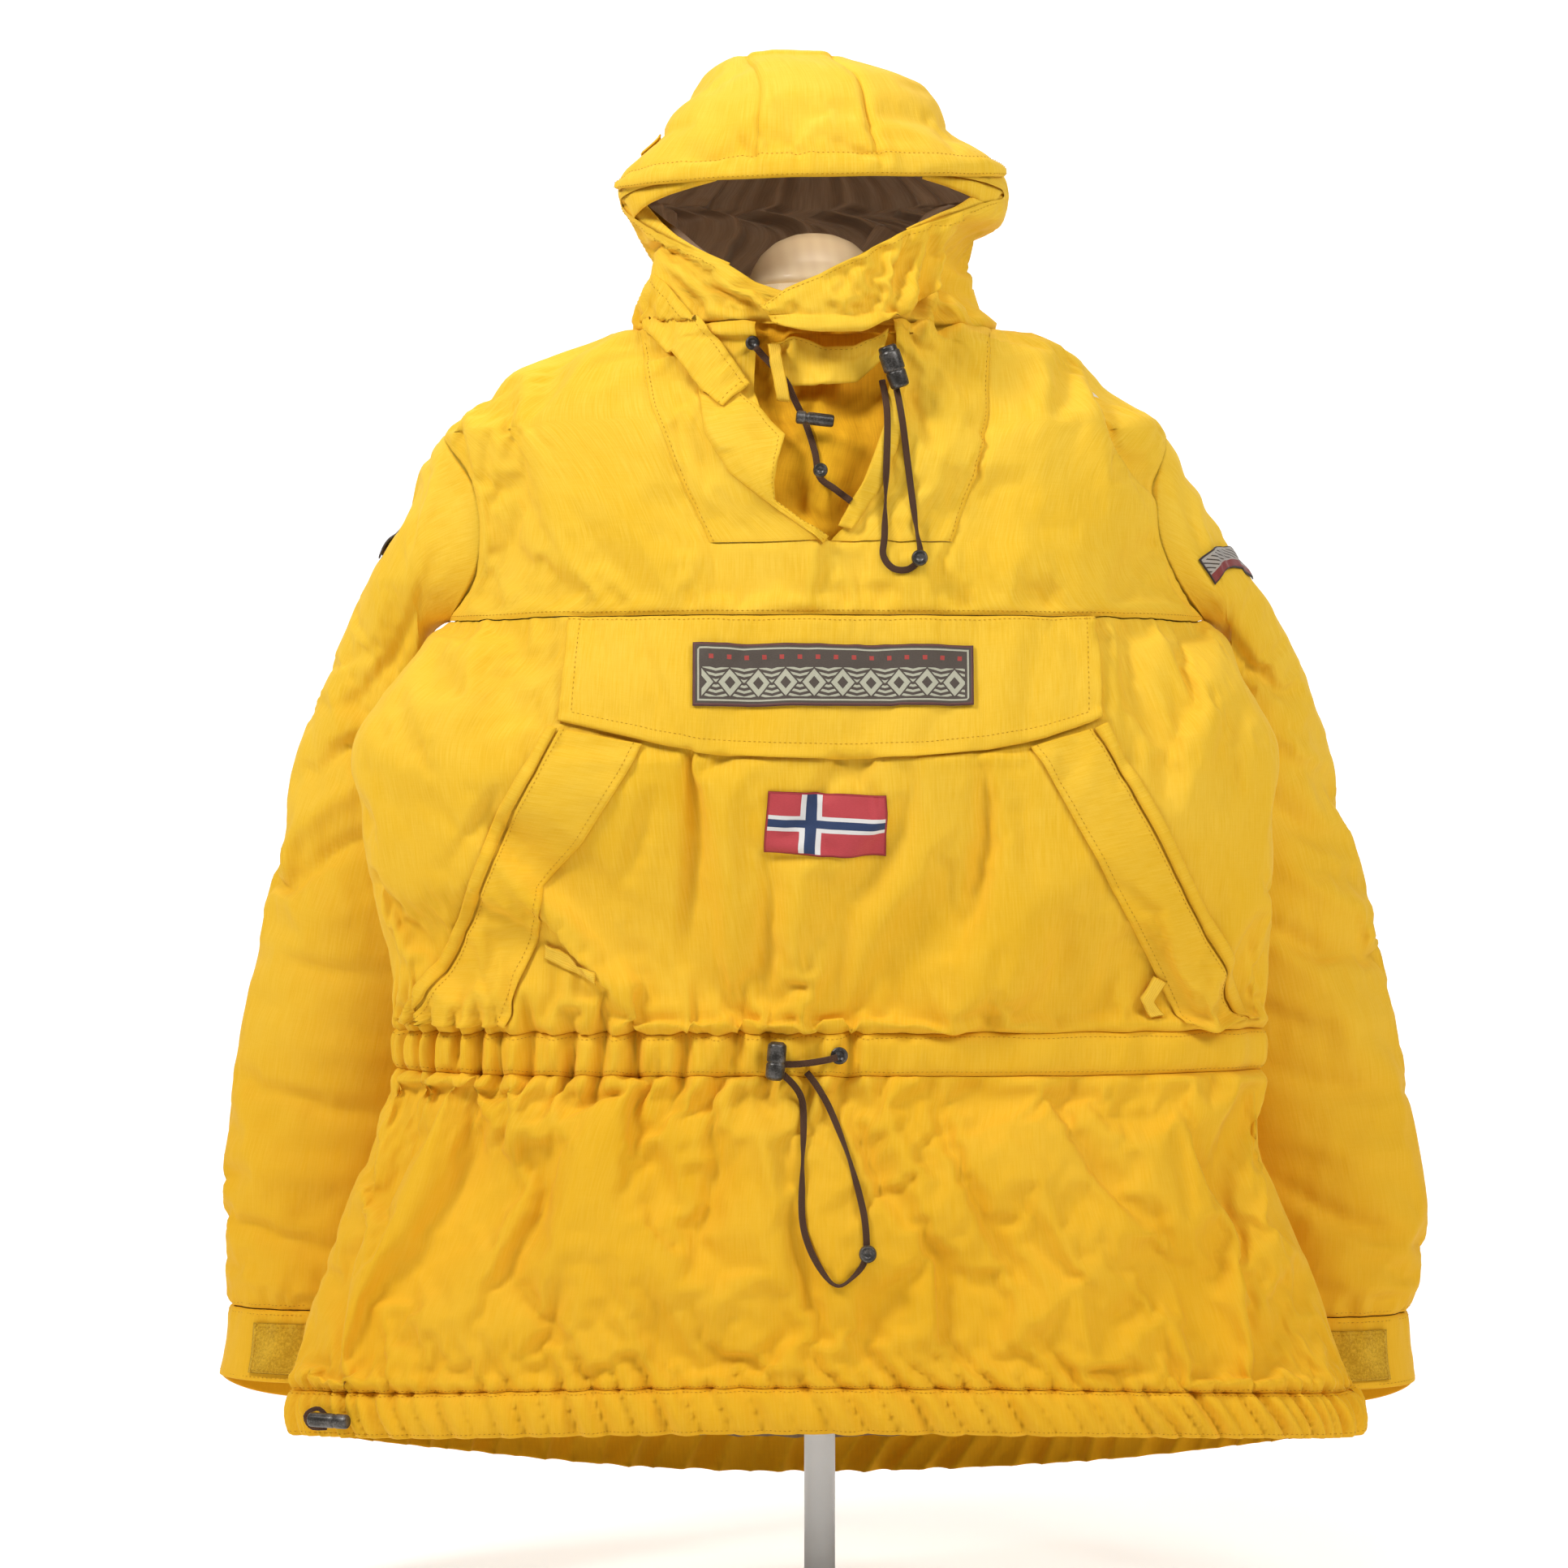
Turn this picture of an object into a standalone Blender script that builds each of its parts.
"""A padded pullover parka, filled out on a limbless dress form with a column and a flat base.

Lengths in the tables are millimetres; the finished meshes are metres, +Z up, the front facing -Y.
The garment is made of cloth walls laid on three smooth surfaces: the body's rings, the hood's rings
and each sleeve's rings. A pattern piece is a patch of one of them, kept SEAM short of its neighbours.
"""
import bpy
import bmesh
from collections import namedtuple
from math import acos, cos, degrees, exp, pi, radians, sin, sqrt
from mathutils import Matrix, Vector
from mathutils.bvhtree import BVHTree

MM = 0.001
WALL = 2.6            # outer cloth, thin padding and backing together
TRIM = 1.6            # webbing, binding and single turned layers
LINING = 1.2
SEAM = 0.15           # each piece stops this far short of the seam line
LIFT = 0.9            # what lies on a panel starts this far above it
SEAT = 0.35           # gap between a seated piece and what it rests on
FAR = 600.0           # further out than any point of the garment
CORD_WIDTH = 4.0

# ---------------------------------------------------------------- heights of the make
NECK = 914.0          # where the hood is sewn on
SHOULDER_TIP = 843.0  # top of the armholes
UNDERARM = 709.9
YOKE_SEAM = 710.0
BIB_BOTTOM = 760.5
WAIST_TOP = 424.0
WAIST_BOTTOM = 396.0
HEM_FRONT = 156.0     # lower edge at the centre front, sides and centre back
HEM_SIDE = 141.0
HEM_BACK = 86.0
HEM_CASING = 31.0
WAVES_FRONT = 20      # gathers round the waist and the hem
WAVES_BACK = 14
SLEEVE_SIDES = 14     # points round a sleeve

# ---------------------------------------------------------------- section tables
Ring = namedtuple("Ring", "height left right side front back round")
# height; reach to the left and right; y of the side point; depth to the front and back;
# round = 1 for an oval back, less for a back that tucks in behind the sides
BODY = [Ring(*row) for row in (
    (80, 370, 380, -36, 114, 168, .40),
    (145, 369, 376, -36, 114, 166, .40),
    (200, 363, 360, -36, 114, 162, .40),
    (255, 347, 341, -36, 112, 156, .38),
    (300, 331, 323, -36, 108, 148, .36),
    (350, 311, 309, -35, 102, 138, .36),
    (385, 297, 308, -34, 95, 130, .38),
    (410, 293, 309, -34, 92, 126, .38),
    (460, 300, 314, -38, 98, 138, .36),
    (520, 312, 316, -42, 102, 150, .32),
    (576, 322, 317, -46, 102, 160, .28),
    (620, 326, 319, -48, 100, 166, .26),
    (655, 306, 304, -38, 105, 159, .28),
    (690, 274, 284, -14, 124, 137, .44),
    (703, 264, 275, -4, 133, 127, .60),
    (725, 260, 268, 6, 142, 117, .80),
    (760, 259, 262, 13, 147, 107, .90),
    (800, 262, 256, 14, 142, 101, 1),
    (843, 266, 244, 8, 126, 100, 1),
    (875, 225, 209, 2, 112, 102, 1),
    (896, 181, 180, -5, 102, 103, 1),
    (907, 152, 152, -11, 97, 102, 1),
    (914, 132, 124, -15, 92, 100, 1),
)]
HOOD = [Ring(*row) for row in (
    (914, 132, 124, -15, 92, 100, 1),
    (932, 127, 113, -18, 92, 108, 1),
    (955, 117, 103, -20, 90, 120, 1),
    (967, 118, 105, -21, 88, 126, 1),
    (980, 126, 112, -22, 86, 132, 1),
    (990, 133, 125, -23, 85, 137, 1),
    (1002, 140, 130, -24, 84, 141, 1),
    (1013, 141, 131, -24, 84, 144, 1),
    (1025, 135, 126, -23, 82, 146, 1),
    (1036, 124, 116, -21, 80, 146, 1),
    (1048, 113, 102, -16, 80, 142, 1),
    (1059, 109, 92, -9, 78, 134, 1),
    (1071, 102, 86, -2, 74, 122, 1),
    (1082, 93, 80, 5, 68, 108, 1),
    (1094, 80, 72, 11, 59, 90, 1),
    (1105, 65, 50, 17, 46, 68, 1),
    (1114, 47, 30, 23, 30, 44, 1),
    (1122, 21, 4, 28, 9, 12, 1),
)]
Cuff = namedtuple("Cuff", "outer_x outer_z inner_x inner_z y front back sag")
# one row for each ring down the sleeve, from just past the armhole to the opening:
# its outer and inner points, y of the middle, depth to the front and back, sag of its back
SLEEVE_LEFT = [Cuff(*row) for row in (
    (-288, 818, -276, 699, 20, 60, 56, 0),
    (-318, 762, -272, 678, 37, 56, 57, 0),
    (-340, 714, -251, 635, 54, 54, 58, 0),
    (-358, 670, -236, 592, 62, 54, 60, 0),
    (-376, 620, -232, 544, 70, 54, 60, 0),
    (-393, 540, -246, 492, 74, 54, 58, 0),
    (-409, 450, -262, 428, 78, 52, 56, 0),
    (-424, 362, -282, 350, 82, 52, 54, 0),
    (-432, 280, -296, 276, 86, 50, 52, 4),
    (-430, 216, -302, 216, 88, 48, 50, 12),
    (-437, 165, -308, 162, 88, 48, 48, 24),
)]
SLEEVE_RIGHT = [Cuff(*row) for row in (
    (274, 804, 286, 697, 19, 60, 56, 0),
    (310, 754, 280, 679, 38, 56, 57, 0),
    (336, 706, 257, 635, 54, 54, 58, 0),
    (354, 668, 240, 592, 62, 54, 60, 0),
    (370, 620, 232, 544, 70, 54, 60, 0),
    (394, 540, 248, 492, 74, 54, 58, 0),
    (412, 450, 266, 428, 78, 52, 56, 0),
    (429, 362, 288, 350, 82, 52, 54, 0),
    (442, 274, 306, 272, 86, 50, 52, 4),
    (431, 211, 310, 211, 88, 48, 50, 12),
    (436, 160, 314, 158, 88, 48, 48, 24),
)]
CUFF_RING = 10        # the cuff is sewn on at this ring

Fold = namedtuple("Fold", "x1 z1 x2 z2 width depth")
# the largest folds of the front, between two points: + is a ridge, - is a trough
FOLDS = [Fold(*row) for row in (
    (-92, 600, -84, 430, 15, -7),
    (-56, 596, -50, 440, 13, 5),
    (-20, 560, -30, 440, 16, -5),
    (96, 600, 84, 440, 16, -6),
    (132, 560, 122, 440, 14, 5),
    (-236, 640, -180, 690, 18, -6),
    (240, 640, 190, 692, 18, -6),
    (-170, 372, -232, 210, 18, -8),
    (-118, 380, -150, 220, 18, 7),
    (-70, 376, -62, 230, 16, -8),
    (-20, 372, 4, 220, 17, 6),
    (44, 376, 66, 230, 18, -8),
    (110, 372, 150, 220, 18, 7),
    (176, 376, 232, 220, 20, -8),
    (-236, 810, -196, 740, 14, -5),
    (232, 800, 210, 730, 14, -6),
)]
BACK_FOLDS = [Fold(*row) for row in (
    (-120, 650, -70, 440, 18, -6),
    (110, 650, 60, 440, 18, -6),
    (-150, 370, -190, 180, 20, -8),
    (-60, 374, -70, 160, 20, 7),
    (30, 376, 40, 150, 20, -8),
    (130, 374, 170, 180, 20, -8),
)]

Look = namedtuple("Look", "colour roughness metallic")
LOOKS = {
    "cloth_yellow": Look((0.86, 0.56, 0.07), 0.72, 0),
    "cloth_turned": Look((0.74, 0.42, 0.03), 0.75, 0),
    "lining_brown": Look((0.16, 0.105, 0.06), 0.60, 0),
    "webbing_yellow": Look((0.90, 0.62, 0.10), 0.70, 0),
    "pile_yellow": Look((0.80, 0.50, 0.04), 0.95, 0),
    "patch_maroon": Look((0.55, 0.05, 0.07), 0.80, 0),
    "badge_brown": Look((0.17, 0.13, 0.10), 0.85, 0),
    "flag_red": Look((0.56, 0.06, 0.06), 0.80, 0),
    "cord_brown": Look((0.115, 0.055, 0.03), 0.80, 0),
    "dark_metal": Look((0.09, 0.085, 0.08), 0.40, 0.6),
    "form_linen": Look((0.80, 0.76, 0.68), 0.80, 0),
    "pale_wood": Look((0.78, 0.60, 0.40), 0.45, 0),
    "white_steel": Look((0.86, 0.86, 0.85), 0.35, 0),
}


# ---------------------------------------------------------------- reading the tables
def between(rows, key, at):
    """The row of a section table at one height, read smoothly between the rows."""
    last = len(rows) - 1
    k = 0
    while k < last - 1 and getattr(rows[k + 1], key) < at:
        k += 1
    low, high = rows[k], rows[k + 1]
    before, after = rows[max(k - 1, 0)], rows[min(k + 2, last)]
    span = getattr(high, key) - getattr(low, key)
    t = min(max((at - getattr(low, key)) / span, 0.0), 1.0)
    values = []
    for name in low._fields:
        p0, p1, p2, p3 = (getattr(row, name) for row in (before, low, high, after))
        slope_low = span * (p2 - p0) / max(getattr(high, key) - getattr(before, key), 1e-6)
        slope_high = span * (p3 - p1) / max(getattr(after, key) - getattr(low, key), 1e-6)
        values.append((2 * t**3 - 3 * t**2 + 1) * p1 + (t**3 - 2 * t**2 + t) * slope_low
                      + (3 * t**2 - 2 * t**3) * p2 + (t**3 - t**2) * slope_high)
    return type(low)(*values)


def ring_point(rows, turn, height):
    """A point of a ring surface: turn 0 left side, 90 centre front, 180 right side, 270 centre back."""
    s = between(rows, "height", height)
    c, n = cos(radians(turn)), sin(radians(turn))
    x = (s.right - s.left) / 2 - (s.right + s.left) / 2 * c
    if n >= 0:
        return Vector((x, s.side - s.front * n**0.92, height))
    return Vector((x, s.side + s.back * (s.round * -n + (1 - s.round) * (-n)**2.4), height))


def ring_normal(rows, turn, height):
    """Outward direction of a ring surface."""
    step = 2.0
    if abs(sin(radians(turn))) < 0.012:
        turn = round(turn / 180) * 180        # both sides of a side seam share its direction
    low, high = rows[0].height, rows[-1].height
    along = ring_point(rows, turn + step, height) - ring_point(rows, turn - step, height)
    up = (ring_point(rows, turn, min(height + step, high))
          - ring_point(rows, turn, max(height - step, low)))
    return along.cross(up).normalized()


def turn_at(rows, x, height):
    """The turn of the front point that lies at x."""
    s = between(rows, "height", height)
    middle, reach = (s.right - s.left) / 2, (s.right + s.left) / 2
    return degrees(acos(min(max((middle - x) / reach, -0.995), 0.995)))


def fold_height(folds, x, z):
    """How far the folds move the cloth outwards at a place."""
    total = 0.0
    for fold in folds:
        along = Vector((fold.x2 - fold.x1, fold.z2 - fold.z1))
        place = Vector((x - fold.x1, z - fold.z1))
        t = min(max(place.dot(along) / along.length_squared, 0.0), 1.0)
        away = (place - along * t).length
        total += fold.depth * sin(pi * min(max(0.12 + 0.76 * t, 0), 1)) * exp(-(away / fold.width)**2 / 2)
    return total


def gathers(turn, height):
    """Waves of the gathered waist and hem, stronger on the wearer's right."""
    if turn <= 180:
        wave, swing = cos(2 * pi * WAVES_FRONT * turn / 180), 4.4 - 2.2 * turn / 180
    else:
        wave, swing = cos(2 * pi * WAVES_BACK * (turn - 180) / 180), 3.2
    calm = sin(radians(turn)) ** 2
    waist = max(1 - abs(height - 410) / 62, 0)
    hem = max(1 - abs(height - hem_height(turn) - HEM_CASING / 2) / 60, 0)
    return wave * swing * (0.35 + 0.65 * calm) * (waist + 0.8 * hem)


def hem_height(turn):
    """Height of the lower edge round the body: the back hangs lower."""
    n = sin(radians(turn))
    return HEM_SIDE + ((HEM_FRONT - HEM_SIDE) if n >= 0 else (HEM_BACK - HEM_SIDE)) * n * n


def body(turn, height, lift=0.0):
    """Outer surface of the body with its folds and gathers, moved out by lift."""
    turn = turn % 360
    place = ring_point(BODY, turn, height)
    folds = FOLDS if turn <= 180 else BACK_FOLDS
    calm = min(abs(sin(radians(turn))) * 3, 1)
    out = fold_height(folds, place.x, height) * calm + gathers(turn, height)
    for seam in (WAIST_TOP, WAIST_BOTTOM, YOKE_SEAM):
        out -= 1.6 * exp(-((height - seam) / 7)**2) * calm
    normal = ring_normal(BODY, turn, height)
    normal.z *= 1 - exp(-((height - YOKE_SEAM) / 12)**2)      # walls are cut level at the yoke seam
    return place + normal.normalized() * (out + lift)


def hood(turn, height, lift=0.0):
    """Outer surface of the hood, moved out by lift."""
    return ring_point(HOOD, turn, height) + ring_normal(HOOD, turn, height) * lift


def front(x, z, lift=0.0):
    """The front as seen from before it: the body below the neck seam, the hood above it."""
    if z < NECK:
        return body(turn_at(BODY, x, z), z, lift)
    return hood(turn_at(HOOD, x, z), z, lift)


def armhole_turn(height):
    """Half the armhole's width, as a turn from the side."""
    t = (height - UNDERARM) / (SHOULDER_TIP - UNDERARM)
    return 25.0 * sqrt(sin(pi * t)) if 0 < t < 1 else 0.0


def armhole(side, around):
    """The armhole's edge: around 0 at the shoulder, 90 at the front, 180 under the arm."""
    height = (SHOULDER_TIP + UNDERARM) / 2 + (SHOULDER_TIP - UNDERARM) / 2 * cos(radians(around))
    turn = armhole_turn(height) * (1 if sin(radians(around)) >= 0 else -1)
    return ring_point(BODY, turn if side < 0 else 180 - turn, height)


def sleeve(side, down, around, lift=0.0):
    """Outer surface of a sleeve: down counts its rings, 0 being the armhole."""
    rows = SLEEVE_LEFT if side < 0 else SLEEVE_RIGHT

    def ring(around, k):
        c, n = cos(radians(around)), sin(radians(around))
        if k <= 0:
            return armhole(side, around) + Vector((side * 0.6, 0, 0))
        s = rows[min(k, len(rows)) - 1]
        depth = s.front if n > 0 else s.back
        return Vector(((s.outer_x + s.inner_x) / 2 + (s.outer_x - s.inner_x) / 2 * c,
                       s.y - depth * n,
                       (s.outer_z + s.inner_z) / 2 + (s.outer_z - s.inner_z) / 2 * c + s.sag * min(n, 0)))

    def place(around, at):
        k = min(int(at), len(rows) - 1)
        t = at - k
        p0, p1, p2, p3 = (ring(around, min(max(k + d, 0), len(rows))) for d in (-1, 0, 1, 2))
        return (p1 * 2 + (p2 - p0) * t + (p0 * 2 - p1 * 5 + p2 * 4 - p3) * t**2
                + (p1 * 3 - p0 - p2 * 3 + p3) * t**3) / 2

    here = place(around, down)
    middle = sum((place(quarter, down) for quarter in (0, 90, 180, 270)), Vector()) / 4
    round_it = place(around + 4, down) - place(around - 4, down)
    along = place(around, min(down + 0.15, len(rows))) - place(around, max(down - 0.15, 0))
    out = round_it.cross(along).normalized() * side + (here - middle).normalized() * 0.5
    return here + out.normalized() * (lift + sleeve_crease(side, down, around))


def sleeve_crease(side, down, around):
    """Soft rings at the elbow and above the cuff, deepest in front."""
    ahead = 0.4 + 0.6 * max(sin(radians(around)), 0)
    rings = sum(depth * exp(-((down - at) / 0.22)**2)
                for at, depth in ((4.5, -4.0), (5.6, -5.0), (6.5, -4.0), (8.6, -3.0), (9.4, 2.5)))
    return rings * ahead * (1 if side < 0 else 0.9)


# ---------------------------------------------------------------- making meshes
def material(name):
    """The named material, made when it is first asked for."""
    made = bpy.data.materials.get(name) or bpy.data.materials.new(name)
    look = LOOKS[name]
    made.use_nodes = True
    shader = made.node_tree.nodes["Principled BSDF"]
    shader.inputs["Base Color"].default_value = (*look.colour, 1)
    shader.inputs["Roughness"].default_value = look.roughness
    shader.inputs["Metallic"].default_value = look.metallic
    made.diffuse_color = (*look.colour, 1)
    return made


def finish_mesh(name, mesh, made_of, smooth_below=50):
    """Turns a bmesh in millimetres into a named object."""
    bmesh.ops.recalc_face_normals(mesh, faces=mesh.faces)
    bmesh.ops.scale(mesh, vec=(MM, MM, MM), verts=mesh.verts)
    data = bpy.data.meshes.new(name)
    mesh.to_mesh(data)
    mesh.free()
    data.materials.append(material(made_of))
    data.shade_smooth()
    data.set_sharp_from_angle(angle=radians(smooth_below))
    made = bpy.data.objects.new(name, data)
    bpy.context.collection.objects.link(made)
    return made


def cloth(name, place, across, along, made_of, wall=WALL, closed=False, keep=None):
    """A cloth wall over a grid: place(u, v, lift) gives its points, lift 0 on the outer face."""
    mesh = bmesh.new()
    columns = across if closed else across + 1
    faces = [[[mesh.verts.new(place(i / across, j / along, -depth)) for i in range(columns)]
              for j in range(along + 1)] for depth in (0.0, wall)]
    rim = {}
    for j in range(along):
        for i in range(across):
            if keep and not keep(i, j):
                continue
            n = (i + 1) % columns
            corners = ((j, i), (j, n), (j + 1, n), (j + 1, i))
            outer, inner = ([grid[r][c] for r, c in corners] for grid in faces)
            first = 0 if (outer[0].co - outer[2].co).length < (outer[1].co - outer[3].co).length else 1
            a, b, c, d = ((first + step) % 4 for step in range(4))      # both faces share a diagonal
            for one, two, three in ((a, b, c), (a, c, d)):
                mesh.faces.new((outer[one], outer[two], outer[three]))
                mesh.faces.new((inner[one], inner[three], inner[two]))
            for a in range(4):
                edge = (corners[a], corners[(a + 1) % 4])
                if (edge[1], edge[0]) in rim:
                    del rim[(edge[1], edge[0])]
                else:
                    rim[edge] = True
    for (r1, c1), (r2, c2) in rim:
        o1, o2 = faces[0][r1][c1], faces[0][r2][c2]
        i1, i2 = faces[1][r1][c1], faces[1][r2][c2]
        mesh.faces.new((o2, o1, i1))
        mesh.faces.new((o2, i1, i2))
    bmesh.ops.delete(mesh, geom=[v for v in mesh.verts if not v.link_faces], context="VERTS")
    return finish_mesh(name, mesh, made_of)


def along_line(points, u):
    """A point of a line through several points, at equal shares of its length."""
    places = [Vector(p) for p in points]
    lengths = [(b - a).length for a, b in zip(places, places[1:])]
    left = u * sum(lengths)
    for a, b, length in zip(places, places[1:], lengths):
        if left <= length or b is places[-1]:
            return a.lerp(b, min(left / length, 1.0))
        left -= length


def patch(name, first, second, across, along, lift, made_of, wall=TRIM):
    """A piece lying on the front between two lines of (x, z) points."""
    def place(u, v, depth):
        spot = along_line(first, u).lerp(along_line(second, u), v)
        ease = 2.4 * max(1 - abs(spot.y - WAIST_TOP) / 50, 0)      # rides over the gathers
        return front(spot.x, spot.y, lift + ease + wall + depth)
    return cloth(name, place, across, along, made_of, wall)


def turned(name, middle, profile, sides, made_of, stretch_y=1.0, tilt=(0, 0, 1)):
    """A solid turned about an axis through middle: profile rows are (radius, distance up the axis)."""
    mesh = bmesh.new()
    axis = Vector(tilt).normalized()
    across = axis.orthogonal().normalized() if abs(axis.z) < 0.99 else Vector((1, 0, 0))
    other = axis.cross(across)
    rings = []
    for radius, up in profile:
        if radius < 1e-6:
            rings.append([mesh.verts.new(Vector(middle) + axis * up)])
            continue
        rings.append([mesh.verts.new(Vector(middle) + axis * up
                                     + across * radius * cos(2 * pi * k / sides)
                                     + other * radius * stretch_y * sin(2 * pi * k / sides))
                      for k in range(sides)])
    for low, high in zip(rings, rings[1:]):
        for k in range(sides):
            n = (k + 1) % sides
            if len(low) == 1:
                mesh.faces.new((low[0], high[n], high[k]))
            elif len(high) == 1:
                mesh.faces.new((low[k], low[n], high[0]))
            else:
                mesh.faces.new((low[k], low[n], high[n], high[k]))
    for end in (rings[0], rings[-1]):
        if len(end) > 1:
            mesh.faces.new(end)
    return finish_mesh(name, mesh, made_of, 35)


def skin(*names):
    """A search tree of built pieces and their points, in millimetres."""
    bpy.context.view_layer.update()
    view = bpy.context.evaluated_depsgraph_get()
    points, faces = [], []
    for name in names:
        shape = bpy.data.objects[name].evaluated_get(view)
        mesh = shape.to_mesh()
        first = len(points)
        points += [vertex.co / MM for vertex in mesh.vertices]
        faces += [[first + k for k in face.vertices] for face in mesh.polygons]
        shape.to_mesh_clear()
    return BVHTree.FromPolygons(points, faces), points


def foremost(tree, x, z, spread):
    """y of the foremost cloth at a place and a little way round it."""
    round_it = [(0, 0)] + [(spread * cos(k * pi / 4), spread * sin(k * pi / 4)) for k in range(8)]
    hits = (tree.ray_cast(Vector((x + dx, -FAR, z + dz)), Vector((0, 1, 0)))[0] for dx, dz in round_it)
    return min(hit.y for hit in hits if hit)


def seat(name, *resting_on, gap=SEAT):
    """Moves a piece along Y until it just clears what it rests on."""
    under, under_points = skin(*resting_on)
    over, over_points = skin(name)
    gaps = []
    for point in over_points:
        hit = under.ray_cast(Vector((point.x, -FAR, point.z)), Vector((0, 1, 0)))[0]
        if hit:
            gaps.append(hit.y - point.y)
    for point in under_points:
        hit = over.ray_cast(Vector((point.x, FAR, point.z)), Vector((0, -1, 0)))[0]
        if hit:
            gaps.append(point.y - hit.y)
    bpy.data.objects[name].data.transform(Matrix.Translation((0, (min(gaps) - gap) * MM, 0)))


def cord(name, route, width, made_of, count, resting_on):
    """A round cord laid over the pieces it rests on, along a smooth curve through (x, z) places."""
    tree, _ = skin(*resting_on)
    places = [Vector(place) for place in route]
    spans = len(places) - 1
    line = []
    for k in range(count):
        at = k / (count - 1) * spans
        n = min(int(at), spans - 1)
        t = at - n
        p0, p1, p2, p3 = (places[min(max(n + d, 0), spans)] for d in (-1, 0, 1, 2))
        line.append((p1 * 2 + (p2 - p0) * t + (p0 * 2 - p1 * 5 + p2 * 4 - p3) * t**2
                     + (p1 * 3 - p0 - p2 * 3 + p3) * t**3) / 2)
    reach = [foremost(tree, spot.x, spot.y, width * 0.75) - width / 2 - SEAT for spot in line]
    for _ in range(8):                         # the cord bridges the dips it crosses
        reach = [min(y, (reach[max(k - 1, 0)] + reach[min(k + 1, count - 1)]) / 2) for k, y in enumerate(reach)]
    curve = bpy.data.curves.new(name, "CURVE")
    curve.dimensions = "3D"
    curve.bevel_depth = width / 2 * MM
    curve.bevel_resolution = 2
    curve.render_resolution_u = 0
    curve.use_fill_caps = True
    spline = curve.splines.new("POLY")
    spline.points.add(count - 1)
    for point, spot, y in zip(spline.points, line, reach):
        point.co = (spot.x * MM, y * MM, spot.y * MM, 1)
    curve.materials.append(material(made_of))
    made = bpy.data.objects.new(name, curve)
    bpy.context.collection.objects.link(made)
    return made


# ---------------------------------------------------------------- the body
def edges(low, high):
    """Heights between two seams, kept clear of both."""
    return low + SEAM, high - SEAM


def panel_between(name, start, end, across, shares, low, high, made_of="cloth_yellow"):
    """A body panel from one turn to another; low and high give its edges at each turn."""
    def place(u, v, lift):
        turn = start + (end - start) * u
        k = min(int(v * (len(shares) - 1)), len(shares) - 2)
        share = shares[k] + (shares[k + 1] - shares[k]) * (v * (len(shares) - 1) - k)
        bottom, top = low(turn), high(turn)
        return body(turn, bottom + (top - bottom) * share, lift)
    return cloth(name, place, across, len(shares) - 1, made_of)


def side_gap(height):
    """The side seam's clearance as a turn, wider where the armhole cuts in."""
    return 0.2 + armhole_turn(height)


def build_body_panels():
    lower = (0, .06, .17, .36, .6, .82, 1)
    for name, start, waves in (("front_body", 0, WAVES_FRONT), ("back_body", 180, WAVES_BACK)):
        def place(u, v, lift, start=start):
            k = min(int(v * (len(lower) - 1)), len(lower) - 2)
            share = lower[k] + (lower[k + 1] - lower[k]) * (v * (len(lower) - 1) - k)
            bottom, top = edges(WAIST_TOP, YOKE_SEAM)
            height = bottom + (top - bottom) * share
            gap = side_gap(height)
            return body(start + gap + (180 - 2 * gap) * u, height, lift)
        cloth(name, place, waves * 2, len(lower) - 1, "cloth_yellow")
    for name, start, waves in (("front", 0.2, WAVES_FRONT), ("back", 180.2, WAVES_BACK)):
        end = start + 179.6
        panel_between("waist_casing_" + name, start, end, waves * 2, (0, 1),
                      lambda t: WAIST_BOTTOM + SEAM, lambda t: WAIST_TOP - SEAM)
        panel_between("skirt_" + name, start, end, waves * 2, (0, .16, .42, .76, 1),
                      lambda t: hem_height(t) + HEM_CASING + SEAM, lambda t: WAIST_BOTTOM - SEAM)
        panel_between("hem_casing_" + name, start, end, waves * 2, (0, 1),
                      hem_height, lambda t: hem_height(t) + HEM_CASING - SEAM)


BIB_LINE = ((760, -76, 91), (802, -96, 106), (852, -115, 117), (901, -126, 119), (NECK, -127, 119))


def bib_edges(height):
    """x of the bib's two side seams."""
    rows = BIB_LINE
    for (z1, left1, right1), (z2, left2, right2) in zip(rows, rows[1:]):
        if height <= z2:
            t = max((height - z1) / (z2 - z1), 0.0)
            return left1 + (left2 - left1) * t, right1 + (right2 - right1) * t
    return rows[-1][1:]


# heights of the yokes' rows at the armhole, which are the heights of the sleeve's ring points,
# and at the bib seam
YOKE_ROWS = ((None, None),) + tuple(
    ((SHOULDER_TIP + UNDERARM) / 2 + (SHOULDER_TIP - UNDERARM) / 2 * cos(2 * pi * k / SLEEVE_SIDES), at_bib)
    for k, at_bib in ((6, 720), (5, 738), (4, BIB_BOTTOM - SEAM), (3, 791), (2, 818), (1, 836))
) + ((SHOULDER_TIP, 843), (867, 867), (890, 890), (902, 902), (NECK - SEAM, NECK - SEAM))


def yoke_height(row, share):
    """Height of a yoke row, from the armhole (share 0) to the bib seam (share 1)."""
    at_armhole, at_bib = YOKE_ROWS[row]
    if at_bib is None:
        return YOKE_SEAM + SEAM
    return at_armhole + (at_bib - at_armhole) * share


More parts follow.
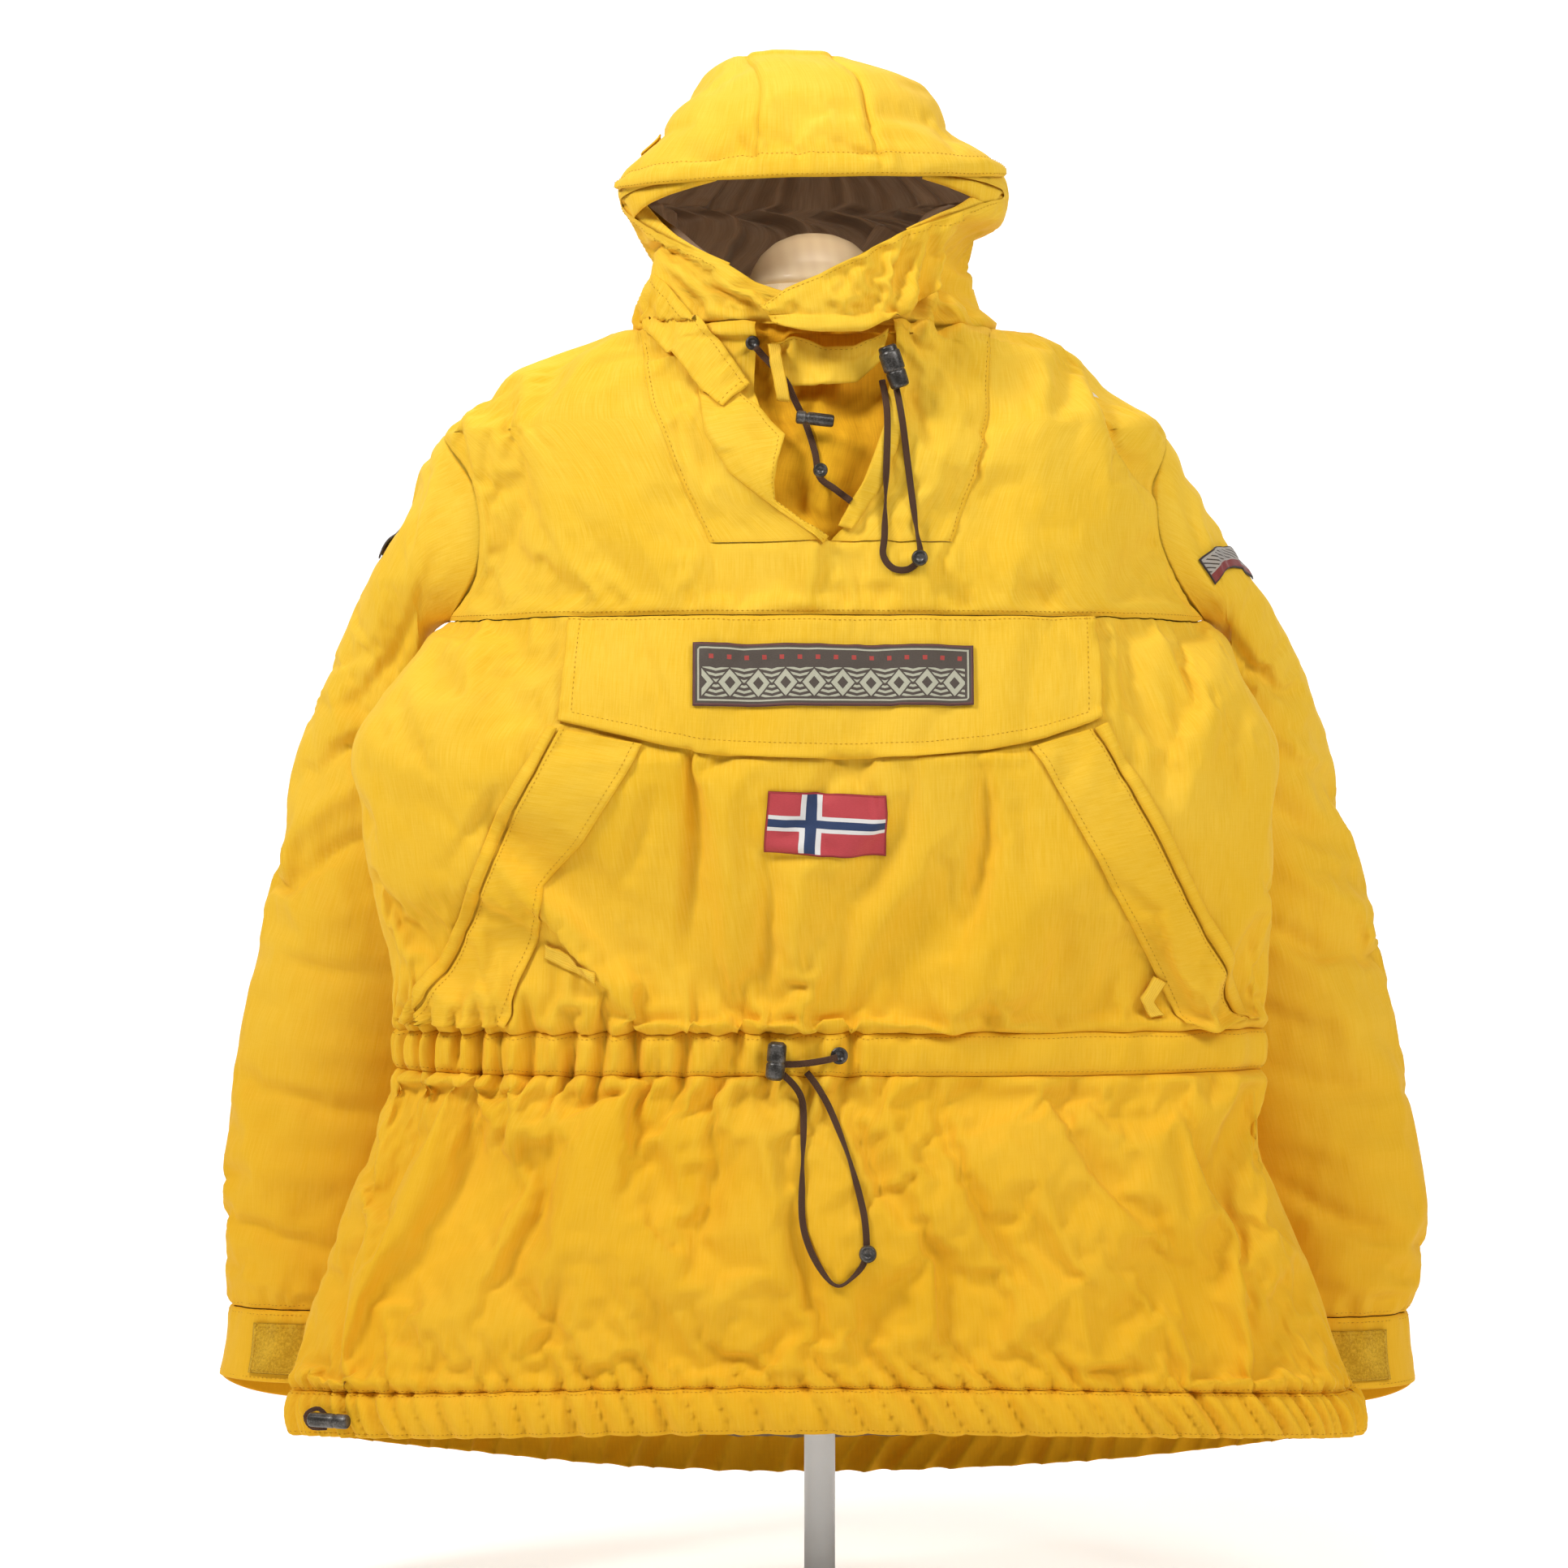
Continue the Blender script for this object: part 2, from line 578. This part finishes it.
def build_yokes():
    side_cells, bib_cells = 5, 6
    across, rows = 2 * side_cells + bib_cells, len(YOKE_ROWS) - 1

    def place(u, v, lift):
        i, j = round(u * across), round(v * rows)
        share = min(min(i, across - i) / side_cells, 1.0)
        height = yoke_height(j, share)
        left, right = bib_edges(max(height, BIB_BOTTOM))
        gap = side_gap(height)
        stops = (gap, turn_at(BODY, left - SEAM, height), turn_at(BODY, right + SEAM, height), 180 - gap)
        if i <= side_cells:
            turn = stops[0] + (stops[1] - stops[0]) * i / side_cells
        elif i <= side_cells + bib_cells:
            turn = stops[1] + (stops[2] - stops[1]) * (i - side_cells) / bib_cells
        else:
            turn = stops[2] + (stops[3] - stops[2]) * (i - side_cells - bib_cells) / side_cells
        return body(turn, height, lift)

    cloth("front_yoke", place, across, rows, "cloth_yellow",
          keep=lambda i, j: j < 3 or not side_cells <= i < side_cells + bib_cells)

    def back_place(u, v, lift):
        height = yoke_height(round(v * rows), 0.0)
        gap = side_gap(height)
        return body(180 + gap + (180 - 2 * gap) * u, height, lift)
    cloth("back_yoke", back_place, 14, rows, "cloth_yellow")


VEE = ((761, 6, 8), (773, -12, 20), (786, -32, 29), (800, -34, 38), (832, -27, 48), (850, -41, 49), (866, -46, 50),
       (NECK, -46, 50))


def vee_edges(height):
    """x of the two edges of the throat opening."""
    for (z1, left1, right1), (z2, left2, right2) in zip(VEE, VEE[1:]):
        if height <= z2:
            t = max((height - z1) / (z2 - z1), 0.0)
            return left1 + (left2 - left1) * t, right1 + (right2 - right1) * t
    return VEE[-1][1:]


def build_bib():
    """The bib in two halves beside the throat opening, and the gusset set back behind it."""
    rows = (BIB_BOTTOM + SEAM,) + tuple(at_bib for _, at_bib in YOKE_ROWS[4:])

    def half(side):
        def place(u, v, lift):
            height = rows[round(v * (len(rows) - 1))]
            outer = bib_edges(height)[side] + (SEAM if side == 0 else -SEAM)
            inner = vee_edges(height)[side]
            x = outer + (inner - outer) * u
            return front(x, height, lift)
        return place
    cloth("bib_left", half(0), 4, len(rows) - 1, "cloth_yellow")
    cloth("bib_right", half(1), 4, len(rows) - 1, "cloth_yellow")

    def behind(u, v, lift):
        height = 752 + (921 - 752) * v
        left, right = vee_edges(height)
        x = left - 14 + (right - left + 28) * u
        crumple = 3.0 * sin(4 * pi * u + 5 * v) * sin(pi * u) * sin(pi * v)
        return front(x, height, lift - WALL - 5.0 - 9.0 * sin(pi * u) + crumple)
    cloth("throat_gusset", behind, 8, 6, "cloth_turned", TRIM)

    patch("placket_left", ((-59, 867), (-40, 850), (-24, 832), (-32, 799), (-32, 787), (-13, 773), (6, 763)),
          ((-84, 868), (-78, 832), (-62, 806), (-30, 780), (2, 758)), 8, 3, LIFT, "cloth_yellow", WALL)
    patch("placket_right", ((46, 872), (42, 838), (28, 800), (12, 770)),
          ((58, 872), (56, 836), (42, 798), (22, 768)), 7, 2, LIFT, "cloth_yellow", WALL)


# ---------------------------------------------------------------- the hood and the throat
Edge = namedtuple("Edge", "height left right")
# the face opening's edge as turns from each side: up the crossed throat, round the brim's
# two tips and along the brim
FACE = [Edge(*row) for row in (
    (914, 89.5, 89.5), (928, 88, 89.5), (938, 72, 88), (948, 63, 80), (957, 54, 72), (969, 36, 60),
    (980, 24, 50), (990, 14, 40), (997, 8, 30), (1001, 5, 22), (1004, 8, 14), (1007, 20, 10), (1010, 38, 16),
    (1013, 55, 34), (1016, 66, 56), (1019, 75, 75), (1024, 80, 80),
)]
HOOD_ROWS = (NECK + SEAM, 928, 940, 957, 972, 986, 997, 1002, 1006, 1010, 1014, 1019, 1032, 1050, 1068, 1086,
             1102, 1112)
HOOD_BRIM = 1019.0    # lower end of the middle panel


def hood_seam(height, side):
    """x of the seams beside the hood's middle panel, which is narrower over the crown."""
    t = min(max((height - HOOD_BRIM) / 94, 0), 1)
    return -45 + 6 * t if side == 0 else 41 - 19 * t


def face_turn(height, side):
    """Where a side panel of the hood begins in front, as a turn from its own side."""
    seam = turn_at(HOOD, hood_seam(height, side) + (-SEAM if side == 0 else SEAM), height)
    seam = seam if side == 0 else 180 - seam
    for low, high in zip(FACE, FACE[1:]):
        if height <= high.height:
            t = max((height - low.height) / (high.height - low.height), 0)
            opening = low[1 + side] + (high[1 + side] - low[1 + side]) * t
            return opening if height < 1005 else min(opening, seam)
    return seam


def build_hood():
    rows = len(HOOD_ROWS) - 1

    def side_panel(side):
        def place(u, v, lift):
            height = HOOD_ROWS[round(v * rows)]
            start = face_turn(height, side)
            seam = turn_at(HOOD, hood_seam(height, side) + (-SEAM if side == 0 else SEAM), height)
            end = -seam if side == 0 else seam - 180
            turn = start + (end - start) * u
            return hood(turn if side == 0 else 180 - turn, height, lift)
        return place
    cloth("hood_left", side_panel(0), 8, rows, "cloth_yellow")
    cloth("hood_right", side_panel(1), 8, rows, "cloth_yellow")

    ahead = [row for row in HOOD_ROWS if row >= HOOD_BRIM]
    path = ([(row, 1) for row in ahead] + [(1119, 1), (1122, 1), (1119, -1)]
            + [(row, -1) for row in reversed(HOOD_ROWS)])

    def middle(u, v, lift):
        """From the brim up the front, over the crown and down the back."""
        height, way = path[round(v * (len(path) - 1))]
        left, right = hood_seam(height, 0) + SEAM, hood_seam(height, 1) - SEAM
        x = left + (right - left) * u
        if height > 1112:                      # the crown bows over between the two seams
            edge = ring_point(HOOD, way * turn_at(HOOD, x, 1112), 1112)
            bow = (height - 1112) * sin(pi * u) ** 0.8 + 0.8 * (height - 1112) / 10
            y = edge.y + (ring_point(HOOD, 90, 1122).y - edge.y + 9) * (height - 1112) / 10
            return Vector((x, y, 1112 + bow + lift))
        return hood(way * turn_at(HOOD, x, height), height, lift)
    cloth("hood_middle", middle, 4, len(path) - 1, "cloth_yellow")

    def brim(u, v, lift):
        turn = 8 + 164 * u
        edge = 1008 + 8 * u
        fade = sin(pi * u) ** 0.4
        height = edge - 2 * fade + 17 * v * fade + 6 * (1 - fade)
        return hood(turn, height, lift + LIFT + WALL + 0.8 * sin(14 * pi * u) * fade)
    cloth("hood_brim", brim, 28, 2, "cloth_yellow")

    def lining(u, v, lift):
        height = 924 + (1098 - 924) * v
        left, right = (min(face_turn(height, side) - 6, 45 if height < 1004 else 24) for side in (0, 1))
        turn = left - (180 + left + right) * u
        drape = 2.2 * sin(13 * pi * u) * sin(pi * u)
        return hood(turn, height, lift - WALL - 6.9 + drape)
    cloth("hood_lining", lining, 26, 7, "lining_brown", LINING)

    def tab_place(u, v, lift):
        return hood(-2 + 8 * u, 1036 + 16 * v, lift + LIFT + TRIM + 6 * v)
    cloth("hood_tab", tab_place, 3, 3, "cloth_yellow", TRIM)


THROAT = ("front_yoke", "bib_left", "bib_right", "hood_left", "hood_right", "placket_left", "placket_right",
          "throat_gusset")


def build_throat():
    """The crossing flap, the standing strip, the left collar band with its slit and the loop."""
    patch("throat_flap", ((-40, 921), (-24, 932), (-2, 941), (30, 956), (52, 970), (71, 980), (96, 990)),
          ((-34, 910), (-18, 906), (0, 903), (26, 902), (46, 910), (64, 920), (86, 936)), 9, 2,
          LIFT + 1.4, "cloth_yellow", WALL)
    seat("throat_flap", *THROAT)
    patch("collar_strip", ((-34, 900), (-18, 902), (2, 892), (22, 893), (44, 906)),
          ((-32, 866), (-14, 866), (2, 864), (24, 868), (40, 884)), 7, 2, LIFT + 6.0, "cloth_yellow", WALL)
    seat("collar_strip", *THROAT, "throat_flap")
    patch("collar_band_left", ((-106, 945), (-93, 928), (-80, 911), (-64, 890), (-48, 869)),
          ((-123, 908), (-111, 897), (-98, 884), (-82, 865), (-66, 851)), 7, 3, LIFT + 5.0, "cloth_yellow", WALL)
    seat("collar_band_left", *THROAT, "placket_left", "throat_flap")


def build_loop():
    """The webbing loop that holds the cord, standing off the strip."""
    def loop(u, v, lift):
        return front(-37 + 7 * u + 9 * v, 897 - 42 * u - 2 * v, LIFT + 12.4 + 8.0 * sin(pi * u) ** 0.7 + lift)
    cloth("neck_loop", loop, 9, 2, "webbing_yellow", TRIM)
    seat("neck_loop", *THROAT, "collar_strip", "hood_cord_left", gap=0.8)


# ---------------------------------------------------------------- sleeves
def build_sleeves():
    for side, word in ((-1, "left"), (1, "right")):
        def upper(u, v, lift, side=side):
            return sleeve(side, (CUFF_RING - 0.006) * v, 360 * u, lift)
        cloth("sleeve_" + word, upper, SLEEVE_SIDES, 17, "cloth_yellow", closed=True)

        def cuff(u, v, lift, side=side):
            return sleeve(side, CUFF_RING + 0.006 + (1 - 0.006) * v, 360 * u, lift)
        cloth("cuff_" + word, cuff, SLEEVE_SIDES, 1, "cloth_yellow", closed=True)

        def pile(u, v, lift, side=side):
            return sleeve(side, CUFF_RING + 0.16 + 0.66 * v, 52 + 76 * u, lift + LIFT + TRIM)
        cloth("cuff_pile_" + word, pile, 5, 1, "pile_yellow", TRIM)

    def arm_patch(side, upper, lower):
        """Between two edges, each from one (down, around) place on the sleeve to another."""
        def place(u, v, lift):
            first, second = (Vector(edge[0]).lerp(Vector(edge[1]), u) for edge in (upper, lower))
            down, around = first.lerp(second, v)
            return sleeve(side, down, around, lift + LIFT + TRIM)
        return place
    cloth("arm_patch_right", arm_patch(1, ((0.62, 100), (1.84, 30)), ((0.84, 112), (2.12, 36))), 5, 3,
          "patch_maroon", TRIM)
    cloth("arm_patch_left", arm_patch(-1, ((1.62, -14), (1.62, 26)), ((2.04, -14), (2.04, 26))), 5, 3,
          "patch_maroon", TRIM)


# ---------------------------------------------------------------- pockets and patches
def build_pockets():
    patch("pocket_flap", ((-172, 709), (-60, 709), (60, 709), (189, 709)),
          ((-178, 637), (-146, 630), (-84, 616), (-35, 613), (14, 612), (63, 613), (112, 617), (150, 625), (189, 638)),
          16, 4, LIFT + 0.6, "cloth_yellow", WALL)
    patch("chest_badge", ((-86, 689), (102, 688)), ((-86, 646), (102, 647)), 8, 2,
          2 * LIFT + WALL, "badge_brown")
    patch("flag_patch", ((-34, 591), (44, 588)), ((-37, 549), (43, 546)), 5, 3, LIFT,
          "flag_red")

    line_left = ((-177, 632), (-206, 578), (-220, 546), (-242, 500), (-264, 461), (-276, 436), (-281, 430))
    free_left = ((-121, 622), (-131, 605), (-162, 555), (-188, 525), (-193, 500), (-206, 461), (-213, 430))
    line_right = ((184, 632), (214, 578), (249, 516), (279, 468), (290, 440), (293, 430))
    free_right = ((141, 620), (173, 564), (208, 502), (249, 430))
    for word, line, free, side in (("left", line_left, free_left, -1), ("right", line_right, free_right, 1)):
        edge = tuple((x - side * 1.0, z) for x, z in line)
        outer = tuple((x + side * 9.0, z + 3) for x, z in line)
        patch("pocket_welt_" + word, edge, free, 10, 3, LIFT, "cloth_yellow", WALL)
        patch("pocket_piping_" + word, tuple((x + side * 0.6, z) for x, z in line), outer, 10, 1, LIFT, "webbing_yellow", WALL)
    high = 2 * LIFT + WALL + 0.6
    patch("zip_loop_left", ((-192, 484), (-172, 476), (-152, 470)), ((-192, 474), (-172, 466), (-152, 461)),
          4, 1, high, "webbing_yellow")
    seat("zip_loop_left", "front_body", "pocket_welt_left", "pocket_piping_left")
    patch("zip_loop_right", ((228, 462), (219, 448), (227, 436)), ((237, 458), (229, 446), (236, 438)),
          4, 1, high, "webbing_yellow")
    seat("zip_loop_right", "front_body", "pocket_welt_right", "pocket_piping_right")


# ---------------------------------------------------------------- cords and their hardware
def build_cords():
    throat = THROAT + ("throat_flap", "collar_strip", "collar_band_left")
    waist = ("front_body", "waist_casing_front", "skirt_front")
    hem = ("skirt_front", "hem_casing_front")

    def fitting(name, x, z, profile, sides, axis, resting_on):
        turned(name, front(x, z, 12), profile, sides, "dark_metal", tilt=axis)
        seat(name, *resting_on)

    def bead(name, x, z, radius, thick, resting_on):
        fitting(name, x, z, ((radius * 0.55, -thick / 2), (radius, -thick / 5), (radius, thick / 5),
                             (radius * 0.55, thick / 2)), 12, (0, -1, 0), resting_on)

    def eyelet(name, x, z, radius, resting_on):
        fitting(name, x, z, ((radius * 0.8, -0.6), (radius, 0), (radius * 0.85, 0.9), (radius * 0.5, 1.1)),
                12, (0, -1, 0), resting_on)

    eyelet("neck_eyelet", -46, 896, 5.0, throat)
    cord("hood_cord_left", ((-45, 894), (-34, 882), (-24, 870), (-18, 858), (-12, 845), (-8, 834), (-4, 820),
                            (-1, 804), (9, 796), (20, 787)), CORD_WIDTH, "cord_brown", 18, throat + ("neck_eyelet",))
    fitting("barrel_toggle", -4, 838, ((3, -13), (4.6, -12), (4.6, -7), (3.4, -6), (4.4, -5), (4.4, 12), (3, 13)),
            14, (1, 0, -0.12), throat + ("hood_cord_left",))
    bead("hood_bead_left", -1, 803, 5.0, 6, throat + ("hood_cord_left",))

    cord("hood_cord_right", ((42, 872), (44, 858), (45, 840), (44, 800), (43, 765), (42, 750), (49, 741),
                             (60, 741), (67, 750), (65, 766), (62, 788), (59, 812), (56, 836), (53, 856), (50, 872)),
         CORD_WIDTH, "cord_brown", 34, throat)
    fitting("cord_lock", 46, 878, ((4, -17), (6.5, -16), (7.5, 0), (7.5, 12), (5, 13)), 14, (-0.35, -0.1, 1),
            throat + ("hood_cord_right",))
    bead("hood_bead_right", 65, 747, 5.6, 7, throat + ("hood_cord_right",))

    eyelet("waist_eyelet", 12, 412, 6.0, waist)
    cord("waist_cord_link", ((11, 410), (4, 408), (-6, 406), (-16, 405), (-27, 405)), CORD_WIDTH, "cord_brown", 9,
         waist + ("waist_eyelet",))
    cord("waist_cord", ((-26, 398), (-18, 390), (-13, 380), (-12, 364), (-13, 330), (-13, 302), (-8, 282),
                        (2, 264), (11, 257), (20, 262), (29, 274), (30, 292), (27, 312), (18, 344), (6, 374),
                        (-3, 390), (-10, 399)), CORD_WIDTH, "cord_brown", 38, waist)
    fitting("waist_toggle", -30, 409, ((4, -14), (6.5, -12), (6.5, 10), (4, 12)), 14, (0.08, 0, 1),
            waist + ("waist_cord", "waist_cord_link"))
    bead("waist_bead", 30, 278, 6.0, 7, waist + ("waist_cord",))

    cord("hem_cord", ((-338, 158), (-346, 165), (-355, 160), (-351, 152), (-340, 152)), 3.0, "cord_brown", 11, hem)
    fitting("hem_lock", -326, 157, ((4, -15), (5, -14), (5, 14), (4, 15)), 12, (1, -0.45, 0), hem + ("hem_cord",))


# ---------------------------------------------------------------- the dress form
def build_form():
    # height; half-width left and right; middle y; depth to the front and the back
    rows = ((300, 120, 120, -10, 60, 60), (306, 146, 146, -10, 76, 76), (340, 156, 156, -10, 82, 84),
            (400, 138, 138, -10, 72, 74), (450, 132, 132, -10, 72, 76), (520, 148, 148, -10, 82, 92),
            (600, 172, 172, -8, 96, 106), (680, 186, 186, -8, 98, 108), (750, 194, 192, -8, 92, 100),
            (810, 204, 194, -8, 82, 90), (843, 208, 194, -8, 76, 84))
    mesh = bmesh.new()
    sides = 18
    rings = []
    for height, left, right, y, ahead, behind in rows:
        ring = []
        for k in range(sides):
            a = 2 * pi * k / sides
            ring.append(mesh.verts.new((-(left if cos(a) > 0 else right) * cos(a),
                                        y - (ahead if sin(a) > 0 else behind) * sin(a), height)))
        rings.append(ring)
    for height, inset in ((867, 0.6), (890, 0.6), (902, 0.6)):
        ring = []
        for k in range(sides):
            turn = 360 * k / sides
            ends = abs(cos(radians(turn))) ** 6
            skin = body(turn, height, -WALL - inset - 24 * (1 - ends))
            ring.append(mesh.verts.new(skin))
        rings.append(ring)
    for height, radius in ((914, 76), (922, 60), (934, 52), (946, 50)):
        rings.append([mesh.verts.new((-4 - radius * cos(2 * pi * k / sides),
                                      6 - radius * sin(2 * pi * k / sides), height)) for k in range(sides)])
    for low, high in zip(rings, rings[1:]):
        for k in range(sides):
            n = (k + 1) % sides
            mesh.faces.new((low[k], low[n], high[n], high[k]))
    mesh.faces.new(rings[0])
    mesh.faces.new(rings[-1])
    finish_mesh("form_torso", mesh, "form_linen", 60)

    turned("neck_cap", (-4, 6, 946.3), ((47, 0), (47, 4), (44, 14), (38, 24), (28, 33), (15, 38.5), (0, 40)),
           18, "pale_wood")
    turned("form_column", (0, 0, 0), ((11, 12.3), (11, 299.7)), 16, "white_steel")
    turned("form_base", (0, 0, 0), ((150, 0), (152, 4), (146, 12)), 32, "white_steel", stretch_y=0.82)


def main():
    for old in list(bpy.data.objects):
        bpy.data.objects.remove(old)
    build_body_panels()
    build_yokes()
    build_bib()
    build_hood()
    build_throat()
    build_sleeves()
    build_pockets()
    build_cords()
    build_loop()
    build_form()


main()
